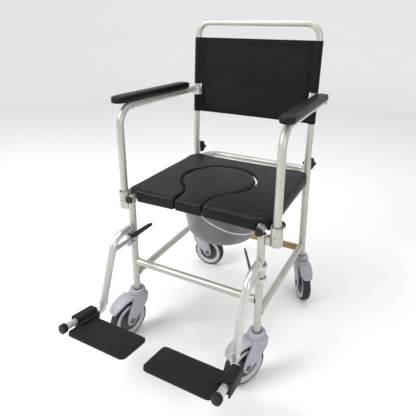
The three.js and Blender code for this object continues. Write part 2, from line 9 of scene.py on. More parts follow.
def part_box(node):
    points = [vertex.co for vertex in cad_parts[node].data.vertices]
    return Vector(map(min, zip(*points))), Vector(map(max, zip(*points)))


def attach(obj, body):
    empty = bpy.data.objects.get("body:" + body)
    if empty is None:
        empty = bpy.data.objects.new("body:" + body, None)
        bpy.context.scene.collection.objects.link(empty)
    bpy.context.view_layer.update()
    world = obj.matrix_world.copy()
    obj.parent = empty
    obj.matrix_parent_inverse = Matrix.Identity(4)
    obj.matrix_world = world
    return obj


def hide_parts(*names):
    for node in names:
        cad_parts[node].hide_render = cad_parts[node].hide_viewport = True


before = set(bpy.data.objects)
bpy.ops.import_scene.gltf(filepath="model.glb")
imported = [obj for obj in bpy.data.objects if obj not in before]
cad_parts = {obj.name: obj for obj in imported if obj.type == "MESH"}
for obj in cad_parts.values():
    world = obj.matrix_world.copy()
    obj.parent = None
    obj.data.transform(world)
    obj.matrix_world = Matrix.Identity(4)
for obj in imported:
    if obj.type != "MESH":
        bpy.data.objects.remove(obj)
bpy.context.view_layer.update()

# ---- driving dimensions, in millimetres from the front leg axis ----
ORIGIN_X = 4.1
ORIGIN_Y = 108.5
TUBE_R = 11.0
FRONT_LEG_X = 210.0
REAR_LEG_X = 218.0
REAR_LEG_R = 12.2
LEG_FOOT = 158.4
FRONT_LEG_TOP = 467.5
REAR_LEG_TOP = 545.0
TUBE_WALL = 1.5
CROSS_TUBE_Z = 260.0
REAR_BAR_Z = 184.0
REAR_BAR_R = 12.0
LOWER_RAIL_FRONT_Z = 213.8
LOWER_RAIL_REAR_Z = 207.0
COLLAR_LOW = 341.0
COLLAR_HIGH = 363.6
REAR_FOOT_Y = 441.0
REAR_RAKE = -0.0778
HOOP_BEND_Z = 560.0
HOOP_TOP_Y = 432.0
HOOP_TOP_Z = 988.0
HOOP_R = 10.4
HOOP_FOOT_Z = 480.0
BOW_X = 214.0
BOW_FRONT_Y = 426.0
BOW_REAR_Y = 498.0
BOW_Z = 482.0
ARM_X = 246.0
ARM_Z = 748.0
ARM_FRONT_Y = 12.0
ARM_PIVOT_Y = 420.0
ARM_FOOT_Z = 485.5
ARM_BEND_R = 55.0
PLUNGER_Z = 476.0
RAIL_X = 207.0
RAIL_Z = 478.0
SLING_LOW = 672.0
SLING_HIGH = 937.0
SLING_HALF = 201.5
SLEEVE_R = 11.9
SLEEVE_START = 42.0
SLEEVE_END = 318.0
WINDOW_LOW = 730.0
WINDOW_HIGH = 772.0
PAN_Y = 205.0
BAIL_Z = 440.0
BAIL_R = 149.0
BAIL_TURN = math.radians(90)
BAIL_HANG = math.radians(32)
WHEEL_R = 62.5
TRAIL = 41.0
BAR_X = 226.0
BAR_Z = 188.0
BAR_REAR = -165.0
BAR_TILT = math.radians(12)
HANGER_TOP_Z = 384.0
HANGER_END_Y = -152.0
HANGER_END_Z = 205.0
BRACE_Z = 347.0
CASTORS = [
    ("front_l", FRONT_LEG_X, 0.0, 239.0),
    ("front_r", -FRONT_LEG_X, 0.0, 255.0),
    ("rear_l", REAR_LEG_X, REAR_FOOT_Y, 301.0),
    ("rear_r", -REAR_LEG_X, REAR_FOOT_Y, 2.0),
]
SIDES = (("l", 1), ("r", -1))


def at(x, y, z):
    """A point given in millimetres from the front leg axis, in the model's metres."""
    return Vector(((x - ORIGIN_X) / 1000, (y - ORIGIN_Y) / 1000, z / 1000))


def mm(value):
    """Millimetres as metres."""
    return value / 1000


def about(axis, degrees):
    return Matrix.Rotation(math.radians(degrees), 4, axis)


# ---- materials ----
def material(name, base, rough, metallic=0.0, kind="paint", scale=300.0, bump=0.1, spread=0.12, coat=0.0,
             specular=0.5):
    """A procedural finish: colour varies with noise, and kind sets the relief."""
    made = bpy.data.materials.new(name)
    made.use_nodes = True
    nodes, links = made.node_tree.nodes, made.node_tree.links
    shader = nodes["Principled BSDF"]
    shader.inputs["Metallic"].default_value = metallic
    shader.inputs["Coat Weight"].default_value = coat
    shader.inputs["Specular IOR Level"].default_value = specular
    place = nodes.new("ShaderNodeTexCoord")
    blotch = nodes.new("ShaderNodeTexNoise")
    blotch.inputs["Scale"].default_value = 14.0
    blotch.inputs["Detail"].default_value = 6.0
    links.new(place.outputs["Object"], blotch.inputs["Vector"])
    ramp = nodes.new("ShaderNodeValToRGB")
    ramp.color_ramp.elements[0].position = 0.3
    ramp.color_ramp.elements[1].position = 0.7
    ramp.color_ramp.elements[0].color = [c * (1 - spread) for c in base] + [1]
    ramp.color_ramp.elements[1].color = [min(1.0, c * (1 + spread)) for c in base] + [1]
    links.new(blotch.outputs["Fac"], ramp.inputs["Fac"])
    links.new(ramp.outputs["Color"], shader.inputs["Base Color"])
    scuff = nodes.new("ShaderNodeTexNoise")
    scuff.inputs["Scale"].default_value = 60.0
    scuff.inputs["Detail"].default_value = 8.0
    links.new(place.outputs["Object"], scuff.inputs["Vector"])
    sheen = nodes.new("ShaderNodeMapRange")
    sheen.inputs["To Min"].default_value = rough - 0.08
    sheen.inputs["To Max"].default_value = rough + 0.1
    links.new(scuff.outputs["Fac"], sheen.inputs["Value"])
    links.new(sheen.outputs["Result"], shader.inputs["Roughness"])
    relief = nodes.new("ShaderNodeBump")
    relief.inputs["Strength"].default_value = bump
    relief.inputs["Distance"].default_value = 0.0006
    if kind == "weave":
        height = None
        for direction in ("X", "Z"):
            wave = nodes.new("ShaderNodeTexWave")
            wave.bands_direction = direction
            wave.inputs["Scale"].default_value = scale
            wave.inputs["Distortion"].default_value = 0.3
            links.new(place.outputs["Object"], wave.inputs["Vector"])
            if height is None:
                height = wave.outputs["Fac"]
            else:
                both = nodes.new("ShaderNodeMath")
                both.operation = "MAXIMUM"
                links.new(height, both.inputs[0])
                links.new(wave.outputs["Fac"], both.inputs[1])
                height = both.outputs[0]
    elif kind == "grain":
        cells = nodes.new("ShaderNodeTexVoronoi")
        cells.inputs["Scale"].default_value = scale
        links.new(place.outputs["Object"], cells.inputs["Vector"])
        height = cells.outputs["Distance"]
    else:
        peel = nodes.new("ShaderNodeTexNoise")
        peel.inputs["Scale"].default_value = scale
        peel.inputs["Detail"].default_value = 3.0
        links.new(place.outputs["Object"], peel.inputs["Vector"])
        height = peel.outputs["Fac"]
    links.new(height, relief.inputs["Height"])
    links.new(relief.outputs["Normal"], shader.inputs["Normal"])
    return made


# name: base colour, roughness, metallic, relief kind, relief scale, bump, colour spread, coat, specular level
LOOKS = {
    "frame_paint": ((0.46, 0.45, 0.41), 0.34, 0.5, "paint", 420, 0.12, 0.07, 0.3),
    "bright_paint": ((0.55, 0.545, 0.525), 0.3, 0.6, "paint", 420, 0.12, 0.07, 0.3),
    # The tan here is a painted reflection of a brown floor on the rear bar, not a colour of the bar's own.
    "tan_paint": ((0.34, 0.225, 0.095), 0.55, 0.0, "paint", 300, 0.2, 0.12),
    "black_plastic": ((0.010, 0.010, 0.011), 0.45, 0.0, "grain", 900, 0.18, 0.2, 0.0, 0.3),
    "pad_skin": ((0.005, 0.005, 0.006), 0.42, 0.0, "grain", 620, 0.16, 0.2, 0.0, 0.2),
    "sling_fabric": ((0.005, 0.005, 0.006), 0.66, 0.0, "weave", 420, 0.35, 0.15, 0.0, 0.18),
    "pan_plastic": ((0.15, 0.155, 0.17), 0.35, 0.0, "paint", 260, 0.08, 0.06, 0.2),
    "bail_wire": ((0.82, 0.82, 0.8), 0.35, 0.0, "paint", 500, 0.05, 0.04),
    "castor_plastic": ((0.33, 0.34, 0.375), 0.42, 0.0, "paint", 600, 0.15, 0.07),
    "tyre_rubber": ((0.018, 0.018, 0.02), 0.6, 0.0, "grain", 500, 0.2, 0.2, 0.0, 0.3),
    "hub_plastic": ((0.045, 0.045, 0.052), 0.45, 0.0, "paint", 500, 0.12, 0.12),
    "bolt_steel": ((0.52, 0.52, 0.53), 0.3, 0.9, "paint", 700, 0.1, 0.1),
    "rim_grey": ((0.42, 0.42, 0.45), 0.45, 0.0, "paint", 500, 0.1, 0.06),
    "axle_grey": ((0.11, 0.11, 0.12), 0.4, 0.3, "paint", 500, 0.1, 0.1),
    "tread_black": ((0.006, 0.006, 0.007), 0.55, 0.0, "grain", 420, 0.5, 0.2, 0.0, 0.22),
}
FINISH = {name: material(name, *look) for name, look in LOOKS.items()}


# ---- mesh helpers: a shape is (points, faces) ----
def merged(*shapes):
    """Several shapes as one."""
    points, faces = [], []
    for shape_points, shape_faces in shapes:
        faces += [[i + len(points) for i in face] for face in shape_faces]
        points += shape_points
    return points, faces


def bent(corners, radii, steps=12):
    """A path through the corners, with an arc of its own radius, in millimetres, at each inner one."""
    points = [corners[0]]
    for i in range(1, len(corners) - 1):
        corner = corners[i]
        back = (corners[i - 1] - corner).normalized()
        ahead = (corners[i + 1] - corner).normalized()
        half = back.angle(ahead) / 2
        radius = mm(radii[i - 1])
        centre = corner + (back + ahead).normalized() * radius / math.sin(half)
        first = corner + back * radius / math.tan(half) - centre
        last = corner + ahead * radius / math.tan(half) - centre
        sweep = first.angle(last)
        for s in range(steps + 1):
            a, b = math.sin((1 - s / steps) * sweep), math.sin(s / steps * sweep)
            points.append(centre + (first * a + last * b) / math.sin(sweep))
    return points + [corners[-1]]


def swept(points, radius, wall=0.0, sides=28):
    """A round tube along the points, hollow at its ends where wall is given."""
    radius = mm(radius)
    tangents = []
    for i in range(len(points)):
        low, high = points[max(i - 1, 0)], points[min(i + 1, len(points) - 1)]
        tangents.append((high - low).normalized())
    side = tangents[0].orthogonal().normalized()
    rings = []
    for point, tangent in zip(points, tangents):
        side = (side - tangent * side.dot(tangent)).normalized()
        rings.append((point, side, tangent.cross(side)))
    made, faces = [], []
    radii = [radius, radius - mm(wall)] if wall else [radius]
    for ring_radius in radii:
        for point, a, b in rings:
            for k in range(sides):
                turn = 2 * math.pi * k / sides
                made.append(point + (a * math.cos(turn) + b * math.sin(turn)) * ring_radius)
    count = len(points)
    for layer in range(len(radii)):
        base = layer * count * sides
        for i in range(count - 1):
            for k in range(sides):
                p, q = base + i * sides + k, base + i * sides + (k + 1) % sides
                quad = [p, q, q + sides, p + sides]
                faces.append(quad if layer == 0 else quad[::-1])
    inner = count * sides
    for i in (0, count - 1):
        start = i * sides
        if wall:
            for k in range(sides):
                p, q = start + k, start + (k + 1) % sides
                quad = [p, p + inner, q + inner, q]
                faces.append(quad if i == 0 else quad[::-1])
        else:
            cap = list(range(start, start + sides))
            faces.append(cap[::-1] if i == 0 else cap)
    return made, faces


def turned(profile, matrix=Matrix(), sides=56):
    """A lathe shape about Z from (radius, height) pairs in millimetres, closed on the axis or as a ring."""
    points, faces = [], []
    ring = profile[0][0] > 0 or profile[-1][0] > 0
    for radius, height in profile:
        for k in range(sides):
            turn = 2 * math.pi * k / sides
            points.append(Vector((mm(radius) * math.cos(turn), mm(radius) * math.sin(turn), mm(height))))
    rows = len(profile)
    for i in range(rows if ring else rows - 1):
        for k in range(sides):
            p, q = i * sides + k, i * sides + (k + 1) % sides
            r, s = ((i + 1) % rows) * sides + (k + 1) % sides, ((i + 1) % rows) * sides + k
            faces.append([p, q, r, s])
    return [matrix @ p for p in points], faces


BEAD_SIDES = 8


def bead(centre, axis, radius, size=1.7, sides=36):
    """A weld bead round a tube, a little uneven like a hand weld."""
    axis = axis.normalized()
    a = axis.orthogonal().normalized()
    b = axis.cross(a)
    points, faces = [], []
    for k in range(sides):
        turn = 2 * math.pi * k / sides
        out = a * math.cos(turn) + b * math.sin(turn)
        wobble = 1 + 0.25 * noise.noise(out * 4 + centre * 50)
        for j in range(BEAD_SIDES):
            lift = 2 * math.pi * j / BEAD_SIDES
            reach = mm(radius) + mm(size) * wobble * math.cos(lift)
            points.append(centre + out * reach + axis * mm(size) * wobble * math.sin(lift))
            j_next = (j + 1) % BEAD_SIDES
            row, row_next = k * BEAD_SIDES, (k + 1) % sides * BEAD_SIDES
            p, q = row + j, row + j_next
            r, s = row_next + j_next, row_next + j
            faces.append([p, s, r, q])
    return points, faces


def prism(outline, low, high, matrix):
    """An outline in X and Z, in millimetres, given thickness along Y."""
    points = [matrix @ Vector((mm(x), mm(y), mm(z))) for y in (low, high) for x, z in outline]
    count = len(outline)
    faces = [list(range(count)), list(range(2 * count - 1, count - 1, -1))]
    faces += [[k, k + count, (k + 1) % count + count, (k + 1) % count] for k in range(count)]
    return points, faces


def ring_prism(outer, bore, low, high, matrix, sides=48):
    """A sleeve along Y whose outside radius varies round it, in millimetres."""
    points, faces = [], []
    for y, inside in ((low, False), (high, False), (high, True), (low, True)):
        for k in range(sides):
            turn = 2 * math.pi * k / sides
            radius = bore if inside else outer(turn)
            points.append(matrix @ Vector((mm(radius * math.cos(turn)), mm(y), mm(radius * math.sin(turn)))))
    for row in range(4):
        for k in range(sides):
            p, q = row * sides + k, row * sides + (k + 1) % sides
            faces.append([p, q, (q + sides) % (4 * sides), (p + sides) % (4 * sides)])
    return points, faces


def piece(name, shape, body, slot, nodes=(), look=None, sharp=35.0, bevel=0.0):
    """Makes an object from a shape, tidies it, and puts it on its body."""
    mesh = bpy.data.meshes.new(name)
    mesh.from_pydata([tuple(p) for p in shape[0]], [], shape[1])
    made = bpy.data.objects.new(name, mesh)
    bpy.context.scene.collection.objects.link(made)
    settle(made, sharp, bevel)
    made.data.materials.append(FINISH[look or slot])
    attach(made, body)
    if nodes:
        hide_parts(*nodes)
    return made


MERGE_DISTANCE = 1e-6
BEVEL_ANGLE = math.radians(38)
FLAT_ANGLE = math.radians(1.5)


def settle(made, sharp, bevel):
    """Merges what touches, rounds the edges and shades the rest smooth."""
    work = bmesh.new()
    work.from_mesh(made.data)
    bmesh.ops.remove_doubles(work, verts=work.verts, dist=MERGE_DISTANCE)
    bmesh.ops.recalc_face_normals(work, faces=work.faces)
    if bevel:
        bmesh.ops.dissolve_limit(work, angle_limit=FLAT_ANGLE, verts=work.verts, edges=work.edges)
        edges = [e for e in work.edges if len(e.link_faces) == 2 and e.calc_face_angle(0) > BEVEL_ANGLE]
        bmesh.ops.bevel(work, geom=edges, offset=mm(bevel), segments=2, profile=0.5, affect="EDGES",
                        clamp_overlap=True, offset_type="OFFSET")
        bmesh.ops.remove_doubles(work, verts=work.verts, dist=MERGE_DISTANCE)
    for face in work.faces:
        face.smooth = True
    for edge in work.edges:
        edge.smooth = len(edge.link_faces) != 2 or edge.calc_face_angle(0) < math.radians(sharp)
    work.to_mesh(made.data)
    work.free()


def shape_of(node):
    """A CAD node's own shape."""
    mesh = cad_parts[node].data
    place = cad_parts[node].matrix_world
    return [place @ v.co for v in mesh.vertices], [list(p.vertices) for p in mesh.polygons]


def refined(node, body, slot, extra=(), bevel=0.7, look=None):
    """The CAD shape with rounded edges and smooth shading, and any extra shapes joined to it."""
    shape = merged(shape_of(node), *extra)
    return piece(node + "_finished", shape, body, slot, [node], look, 38.0, bevel)


# ---- frame tubes ----
def rear_leg_point(z, side=1):
    return at(REAR_LEG_X * side, REAR_FOOT_Y + REAR_RAKE * (z - LEG_FOOT), z)


HOOP_BEND_Y = REAR_FOOT_Y + REAR_RAKE * (HOOP_BEND_Z - LEG_FOOT)
HOOP_LEAN = (HOOP_TOP_Y - HOOP_BEND_Y) / (HOOP_TOP_Z - HOOP_BEND_Z)


def upright_y(z):
    return HOOP_BEND_Y + HOOP_LEAN * (z - HOOP_BEND_Z)


ALONG_X = Vector((1, 0, 0))
ALONG_Y = Vector((0, 1, 0))
ALONG_Z = Vector((0, 0, 1))


def frame_piece(name, shape, node, slot="frame_paint"):
    piece(name, shape, "frame", slot, [node])


def front_leg(suffix, side):
    """A front leg with the collar that carries its footrest."""
    x = FRONT_LEG_X * side
    tube = swept([at(x, 0, LEG_FOOT), at(x, 0, FRONT_LEG_TOP)], TUBE_R, TUBE_WALL)
    bore, lip, edge = TUBE_R + 0.1, 13.4, 14
    collar = turned(
        [
            (bore, COLLAR_LOW), (lip, COLLAR_LOW), (edge, COLLAR_LOW + 0.8), (edge, COLLAR_HIGH - 0.8),
            (lip, COLLAR_HIGH), (bore, COLLAR_HIGH),
        ],
        Matrix.Translation(at(x, 0, 0)),
    )
    frame_piece("front_leg_tube_" + suffix, merged(tube, collar), "front_leg_" + suffix)


def side_frame(suffix, side):
    """The tubes of one side, in front-to-back order, and the end cap of its seat rail."""
    front_leg(suffix, side)
    rear = swept([rear_leg_point(LEG_FOOT, side), rear_leg_point(REAR_LEG_TOP, side)], REAR_LEG_R, 1.3)
    frame_piece("rear_leg_tube_" + suffix, rear, "rear_leg_" + suffix)
    rail = swept([at(RAIL_X * side, -14, RAIL_Z), at(RAIL_X * side, 405, RAIL_Z)], TUBE_R, TUBE_WALL)
    frame_piece("seat_rail_tube_" + suffix, rail, "seat_rail_" + suffix)
    low_start = at(FRONT_LEG_X * side, 10.4, LOWER_RAIL_FRONT_Z)
    low_end = rear_leg_point(LOWER_RAIL_REAR_Z, side)
    low = swept([low_start, low_end - ALONG_Y * mm(11.6)], TUBE_R, TUBE_WALL)
    frame_piece("lower_rail_tube_" + suffix, low, "lower_rail_" + suffix)
    cap_place = Matrix.Translation(at(RAIL_X * side, 0, RAIL_Z)) @ about("X", 90)
    cap = turned([(0, 14.4), (11.3, 14.4), (11.3, 19), (10.4, 20.3), (0, 20.5)], cap_place)
    frame_piece("rail_cap_plug_" + suffix, cap, "rail_cap_" + suffix, "black_plastic")


def side_welds(side):
    x = FRONT_LEG_X * side
    low_end = rear_leg_point(LOWER_RAIL_REAR_Z, side)
    bar_end = rear_leg_point(REAR_BAR_Z, side) - ALONG_X * mm(12.2 * side)
    return [
        bead(at(x, 11.2, LOWER_RAIL_FRONT_Z), ALONG_Y, TUBE_R),
        bead(low_end - ALONG_Y * mm(12.4), ALONG_Y, TUBE_R),
        bead(at(RAIL_X * side, 404, RAIL_Z), ALONG_Y, TUBE_R),
        bead(at(x, 0, COLLAR_LOW - 0.4), ALONG_Z, TUBE_R + 0.3, 1.2),
        bead(at(x, 0, 466.2), ALONG_Z, TUBE_R),
        bead(at((FRONT_LEG_X - 11) * side, 0, CROSS_TUBE_Z), ALONG_X, TUBE_R),
        bead(bar_end, ALONG_X, REAR_BAR_R),
        bead(at(BOW_X * side, BOW_FRONT_Y, BOW_Z), Vector((0.25 * side, -1, 0)), TUBE_R + 0.4),
    ]


welds = []
for suffix, side in SIDES:
    side_frame(suffix, side)
    welds += side_welds(side)
cross = swept([at(-199.4, 0, CROSS_TUBE_Z), at(199.4, 0, CROSS_TUBE_Z)], TUBE_R, TUBE_WALL)
frame_piece("cross_tube", cross, "front_cross_tube")
bar_y = REAR_FOOT_Y + REAR_RAKE * (REAR_BAR_Z - LEG_FOOT)
bar = swept([at(-206.5, bar_y, REAR_BAR_Z), at(206.5, bar_y, REAR_BAR_Z)], REAR_BAR_R)
# The rear bar takes the tan painted reflection of a brown floor in place of a paint of its own.
frame_piece("rear_bar_tube", bar, "rear_cross_bar", "tan_paint")
bow_line = bent(
    [
        at(-BOW_X, BOW_FRONT_Y, BOW_Z),
        at(-200, BOW_REAR_Y, BOW_Z),
        at(200, BOW_REAR_Y, BOW_Z),
        at(BOW_X, BOW_FRONT_Y, BOW_Z),
    ],
    [40, 40],
    14,
)
frame_piece("bow_tube", swept(bow_line, TUBE_R, TUBE_WALL), "rear_bow_tube")
hoop_line = bent(
    [
        rear_leg_point(HOOP_FOOT_Z, -1),
        at(-REAR_LEG_X, HOOP_BEND_Y, HOOP_BEND_Z),
        at(-REAR_LEG_X, HOOP_TOP_Y, HOOP_TOP_Z),
        at(REAR_LEG_X, HOOP_TOP_Y, HOOP_TOP_Z),
        at(REAR_LEG_X, HOOP_BEND_Y, HOOP_BEND_Z),
        rear_leg_point(HOOP_FOOT_Z),
    ],
    [150, 45, 45, 150],
    16,
)
frame_piece("hoop_tube", swept(hoop_line, HOOP_R, TUBE_WALL), "back_hoop")
piece("weld_beads", merged(*welds), "frame", "frame_paint")


# ---- back sling ----
PANEL_COLUMNS = 48
SLEEVE_STEPS = 18
CLOTH_ROWS = 44
BELLY_DEPTH = 7.0
RIPPLE_DEPTH = 1.3
SEAM_LIFT = 1.5
SEAM_STEPS = 40


def sling_section():
    """Points across the cloth as (x, y offset), from one sleeve's seam round and over to the other's."""
    sleeve = [(-SLING_HALF, 1.5)]
    for k in range(SLEEVE_STEPS + 1):
        turn = math.radians(SLEEVE_START + (SLEEVE_END - SLEEVE_START) * k / SLEEVE_STEPS)
        sleeve.append((-REAR_LEG_X + SLEEVE_R * math.cos(turn), SLEEVE_R * math.sin(turn)))
    sleeve.append((-SLING_HALF, -1.0))
    panel = [(-SLING_HALF + 2 * SLING_HALF * k / PANEL_COLUMNS, None) for k in range(1, PANEL_COLUMNS)]
    return sleeve + panel + [(-x, y) for x, y in reversed(sleeve)]


def sag(x, z):
    """How far the panel sits behind the uprights' line: a slack belly with a few soft ripples."""
    share = (z - SLING_LOW) / (SLING_HIGH - SLING_LOW)
    slack = max(0.0, 1 - (x / SLING_HALF) ** 2)
    dip = BELLY_DEPTH * slack * (0.65 + 0.35 * math.cos(2 * math.pi * (share - 0.4)))
    ripple = RIPPLE_DEPTH * slack * noise.noise(Vector((x / 90, z / 38, 3.1)))
    return -1.0 + dip + ripple


def cloth_shape():
    """The cloth as a grid, without the two windows that the arm clamps reach through."""
    section = sling_section()
    heights = [SLING_LOW + (SLING_HIGH - SLING_LOW) * k / CLOTH_ROWS for k in range(CLOTH_ROWS + 1)]
    points, faces = [], []
    for z in heights:
        for x, offset in section:
            behind = sag(x, z) if offset is None else offset
            points.append(at(x, upright_y(z) + behind, z))
    across = len(section)
    for row in range(CLOTH_ROWS):
        middle = (heights[row] + heights[row + 1]) / 2
        for k in range(across - 1):
            x = (section[k][0] + section[k + 1][0]) / 2
            if abs(x) > 200 and WINDOW_LOW < middle < WINDOW_HIGH:
                continue
            p = row * across + k
            faces.append([p, p + 1, p + 1 + across, p + across])
    used = sorted({i for face in faces for i in face})
    renumbered = {old: new for new, old in enumerate(used)}
    return [points[i] for i in used], [[renumbered[i] for i in face] for face in faces]


sling = piece("sling_cloth", cloth_shape(), "frame", "sling_fabric", ["back_sling"], sharp=180)
thick = sling.modifiers.new("thick", "SOLIDIFY")
thick.thickness = 0.0012
thick.offset = 0.0


def cloth_y(point):
    """The model's Y just in front of the panel at a point."""
    x = point.x * 1000 + ORIGIN_X
    z = point.z * 1000
    return mm(upright_y(z) + sag(x, z) - SEAM_LIFT - ORIGIN_Y)


def seam(low, high, width):
    """A narrow raised band between two points on the cloth."""
    points = [low.lerp(high, k / SEAM_STEPS) for k in range(SEAM_STEPS + 1)]
    return swept([Vector((p.x, cloth_y(p), p.z)) for p in points], width, 0, 10)


seams = []
for x in (-196, -188, 188, 196):
    seams.append(seam(at(x, 0, SLING_LOW + 1), at(x, 0, SLING_HIGH - 1), 0.75))
for z in (SLING_LOW + 1, SLING_LOW + 14, SLING_HIGH - 14, SLING_HIGH - 1):
    seams.append(seam(at(-200, 0, z), at(200, 0, z), 0.9))
seam_piece = piece("sling_seams", merged(*seams), "frame", "sling_fabric")


# ---- padded parts ----
def soft(node, name, body, voxel, rounds, fill, cap, crown):
    """A moulded foam part: the solid is remeshed, eased at its edges and filled by a pressure simulation."""
    points, faces = shape_of(node)
    mesh = bpy.data.meshes.new(name)
    mesh.from_pydata([tuple(p) for p in points], [], faces)
    made = bpy.data.objects.new(name, mesh)
    bpy.context.scene.collection.objects.link(made)
    for kind, settings in (
        ("REMESH", {"mode": "VOXEL", "voxel_size": voxel}),
        ("SMOOTH", {"factor": 0.5, "iterations": rounds}),
    ):
        step = made.modifiers.new(kind.lower(), kind)
        for key, value in settings.items():
            setattr(step, key, value)
    bake(made)
    fill_out(made, cap)
    low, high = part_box(node)
    for vertex in made.data.vertices:
        across = 2 * (vertex.co.x - low.x) / (high.x - low.x) - 1
        along = 2 * (vertex.co.y - low.y) / (high.y - low.y) - 1
        if vertex.co.z > (low.z + high.z) / 2:
            vertex.co.z += crown * (1 - across**4) * (1 - along**4)
            vertex.co.z = min(vertex.co.z, high.z + crown)
    made.data.shade_smooth()
    made.data.materials.append(FINISH["pad_skin"])
    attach(made, body)
    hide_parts(node)


def bake(made):
    """Applies the object's modifiers to its mesh."""
    seen = made.evaluated_get(bpy.context.evaluated_depsgraph_get())
    done = bpy.data.meshes.new_from_object(seen)
    made.modifiers.clear()
    made.data = done


SWELL_FRAMES = 12


def fill_out(made, cap):
    """Swells the skin a little by cloth pressure, with each point's motion capped."""
    start = [v.co.copy() for v in made.data.vertices]
    cloth = made.modifiers.new("cloth", "CLOTH")
    cloth.settings.use_pressure = True
    cloth.settings.uniform_pressure_force = 4.0
    cloth.settings.quality = 4
    cloth.settings.tension_stiffness = 30
    cloth.settings.compression_stiffness = 30
    cloth.settings.effector_weights.gravity = 0.0
    cloth.point_cache.frame_start = 1
    cloth.point_cache.frame_end = SWELL_FRAMES
    for number in range(1, SWELL_FRAMES + 1):
        bpy.context.scene.frame_set(number)
    bake(made)
    for vertex, old in zip(made.data.vertices, start):
        step = vertex.co - old
        if step.length > cap:
            vertex.co = old + step * (cap / step.length)
    bpy.context.scene.frame_set(1)


seat = {"rounds": 10, "fill": 0.9, "crown": 0.002}
pad = {"rounds": 9, "fill": 0.9, "crown": 0.0015}
soft("seat_board", "seat_cushion", "frame", voxel=0.005, cap=0.0025, **seat)
soft("seat_infill", "infill_cushion", "infill", voxel=0.004, cap=0.001, **seat)
for suffix, side in SIDES:
    soft("arm_pad_" + suffix, "arm_cushion_" + suffix, "arm_" + suffix, voxel=0.0035, cap=0.0015, **pad)

# ---- pan, runners and bail ----
bowl_profile = [
    (0, 316), (70, 316), (78, 316.6), (90, 318.6), (98, 321.6), (105, 326), (110, 332.4), (115, 342),
    (119, 352.5), (127, 399), (135.5, 446.6), (138, 447.2), (143.5, 447.2), (145, 448.2), (145, 449.2),
    (143.8, 450), (134, 450), (132, 449), (124, 399), (116, 353), (111.5, 342), (107.4, 334.4),
    (102, 328.5), (96, 324), (88, 321), (77, 319.2), (0, 319),
]
bail_axis = Vector((math.cos(BAIL_TURN), math.sin(BAIL_TURN), 0))
bail_forward = Vector((math.sin(BAIL_TURN), -math.cos(BAIL_TURN), 0))
bail_centre = at(0, PAN_Y, BAIL_Z)
BAIL_STEPS = 64


def pan_shape():
    """The bowl, a pivot stud at each end of the bail, and the foot ring."""
    shapes = [turned(bowl_profile, Matrix.Translation(at(0, PAN_Y, 0)), 72)]
    for end in (1, -1):
        inner = bail_centre + bail_axis * mm(132.6 * end)
        outer = bail_centre + bail_axis * mm(146.4 * end)
        shapes.append(swept([inner, outer], 3.6, 0, 20))
    shapes.append(bead(at(0, PAN_Y, 316.6), ALONG_Z, 72, 1.4, 72))
    return merged(*shapes)


def bail_line():
    """A half circle from pivot to pivot, hanging in front of the bowl."""
    ahead = bail_forward * math.cos(BAIL_HANG) - ALONG_Z * math.sin(BAIL_HANG)
    points = []
    for k in range(BAIL_STEPS + 1):
        angle = math.pi * k / BAIL_STEPS
        offset = bail_axis * mm(BAIL_R * math.cos(angle)) + ahead * mm(BAIL_R * math.sin(angle))
        points.append(bail_centre + offset)
    return points


piece("pan_bowl", pan_shape(), "pan", "pan_plastic", ["pan"])
piece("bail_wire", swept(bail_line(), 2.0, 0, 14), "bail", "bail_wire", ["pan_bail"])

# ---- arms ----
PLUG_PROFILE = [(0, 0), (11.4, 0), (11.6, 1), (11.6, 6), (10.2, 8.6), (7, 9.8), (0, 10)]
SCREW_PROFILE = [(0, -3), (4.2, -2.4), (4.6, -1), (4.6, 0.4), (0, 0.4)]
LOCK_KNOB_PROFILE = [
    (0, 15.6), (3.4, 15.6), (3.8, 16.2), (3.8, 30.6), (9.6, 30.6), (10.5, 31.4), (10.5, 34), (9.4, 35),
    (9.4, 37), (10.5, 38), (10.5, 42.6), (9, 44), (0, 44.2),
]


def arm(suffix, side):
    """A bent arm tube with its end plug and pad screws, and the clamp and socket that hold it."""
    x, body = ARM_X * side, "arm_" + suffix
    corners = [at(x, ARM_FRONT_Y, ARM_FOOT_Z), at(x, ARM_FRONT_Y, ARM_Z), at(x, ARM_PIVOT_Y + 13, ARM_Z)]
    tube = swept(bent(corners, [ARM_BEND_R], 16), TUBE_R, TUBE_WALL)
    piece("arm_bent_tube_" + suffix, tube, body, "frame_paint", ["arm_tube_" + suffix])
    rear_end = Matrix.Translation(at(x, ARM_PIVOT_Y + 12.8, ARM_Z)) @ about("X", -90)
    piece("arm_end_plug_" + suffix, turned(PLUG_PROFILE, rear_end), body, "black_plastic")
    screws = []
    for y in (70, 310):
        screws.append(turned(SCREW_PROFILE, Matrix.Translation(at(x, y, ARM_Z - TUBE_R)), 20))
    piece("pad_screws_" + suffix, merged(*screws), body, "bolt_steel")
    refined("arm_clamp_" + suffix, "frame", "bright_paint", bevel=1.6)
    refined("arm_socket_" + suffix, "frame", "frame_paint", bevel=0.8)


def lock_knob(suffix, side):
    place = Matrix.Translation(at(ARM_X * side, ARM_FRONT_Y, PLUNGER_Z)) @ about("X", -90)
    knob = turned(LOCK_KNOB_PROFILE, place, 40)
    piece("lock_pull_knob_" + suffix, knob, "lock_" + suffix, "black_plastic", ["arm_lock_knob_" + suffix])


for suffix, side in SIDES:
    arm(suffix, side)
    lock_knob(suffix, side)
    refined("star_knob_" + suffix, "star_" + suffix, "black_plastic", bevel=1.6)
    refined("pan_runner_" + suffix, "frame", "pan_plastic", bevel=0.5)

# ---- footrests ----
drop_way = Vector((0, -66, -179)).normalized()
bar_rear = Matrix.Translation(at(0, BAR_REAR, BAR_Z))
tilt = bar_rear @ Matrix.Rotation(-BAR_TILT, 4, "X") @ bar_rear.inverted()
COVER_HALF = 14.9
COVER_CORNER = 18.0
CLAW_BORE = 12.0
CLAW_OUTSIDE = 18.0
CLAW_STEPS = 36
CLAW_HEIGHTS = ((364.0, 376.0), (326.0, 338.0))


